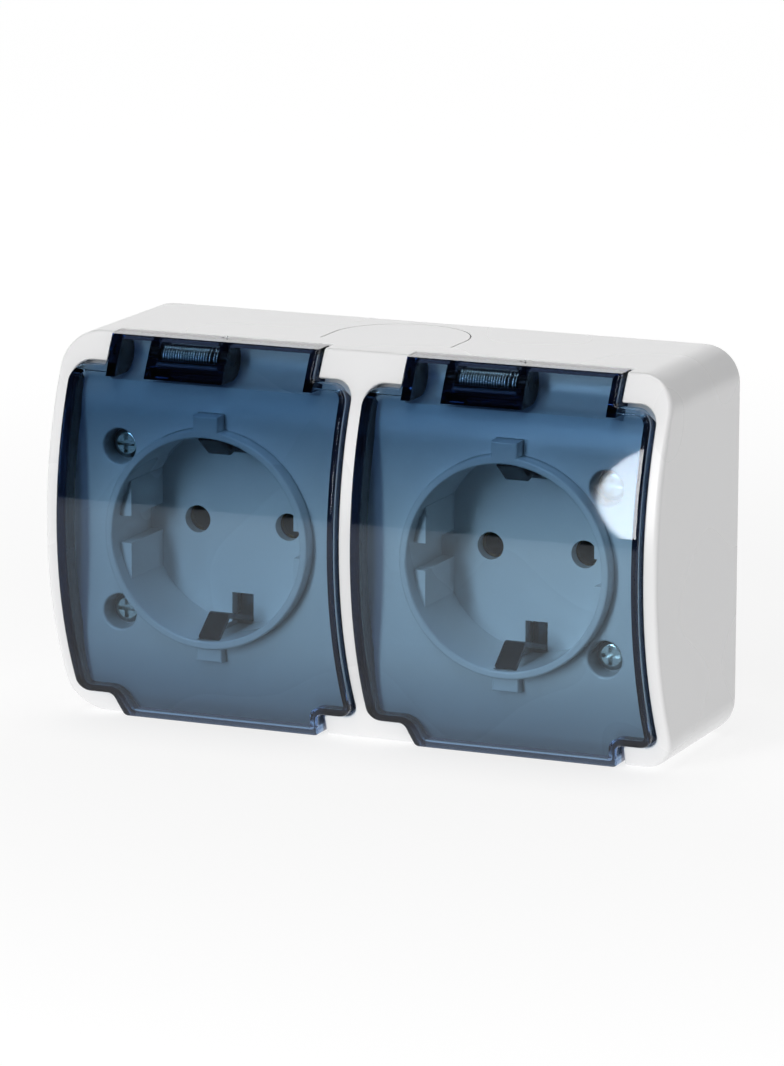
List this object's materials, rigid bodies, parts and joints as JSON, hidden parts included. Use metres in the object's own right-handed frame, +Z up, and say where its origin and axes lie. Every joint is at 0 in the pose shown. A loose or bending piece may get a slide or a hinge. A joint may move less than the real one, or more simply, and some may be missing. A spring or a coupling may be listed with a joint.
{
  "type": "double weatherproof wall socket",
  "caption": "Surface-mounted weatherproof wall outlet: a white bulged box with two round earthed wells behind sprung see-through smoked blue flap lids.",
  "frame": {"origin": "middle of the back face, which lies on the wall", "axes": "X to the right, -Y out of the wall towards the viewer, Z up"},
  "size_m": [0.1244, 0.0465, 0.0758],
  "materials": {
    "white_housing": "glossy moulded, white",
    "smoked_blue": "polished, see-through, smoked blue",
    "grey_carrier": "moulded, light grey",
    "black_rubber": "matt",
    "sheet_brass": "stamped",
    "plated_strap": "nickel plated strip",
    "spring_wire": "bright drawn wire",
    "zinc_screw": "bright zinc"
  },
  "bodies": {
    "housing": {"rear_box": "white_housing", "front_cover": "white_housing", "box_seal": "black_rubber", "cable_grommet": "black_rubber", "cover_screws": "zinc_screw", "carrier_screws": "zinc_screw", "terminal_screws": "zinc_screw", "live_link": "sheet_brass", "neutral_link": "sheet_brass", "earth_link": "sheet_brass", "socket_well_left": "white_housing", "contact_carrier_left": "grey_carrier", "earth_strap_left": "plated_strap", "line_contact_left": "sheet_brass", "neutral_contact_left": "sheet_brass", "socket_well_right": "white_housing", "contact_carrier_right": "grey_carrier", "earth_strap_right": "plated_strap", "line_contact_right": "sheet_brass", "neutral_contact_right": "sheet_brass"},
    "left_lid": {"lid_left": "smoked_blue", "lid_spring_left": "spring_wire", "spring_pin_left": "zinc_screw"},
    "right_lid": {"lid_right": "smoked_blue", "lid_spring_right": "spring_wire", "spring_pin_right": "zinc_screw"}
  },
  "joints": [
    {"name": "lid_left_hinge", "type": "hinge", "parent": "housing", "child": "left_lid", "pos_m": [-0.0304, -0.034, 0.0336], "axis": [-1, 0, 0], "range_deg": [0, 110], "stiffness_Nm_per_rad": 0.02, "springref_deg": -57.3, "deforming": ["lid_spring_left"]},
    {"name": "lid_right_hinge", "type": "hinge", "parent": "housing", "child": "right_lid", "pos_m": [0.0304, -0.034, 0.0336], "axis": [-1, 0, 0], "range_deg": [0, 110], "stiffness_Nm_per_rad": 0.02, "springref_deg": -57.3, "deforming": ["lid_spring_right"]}
  ]
}
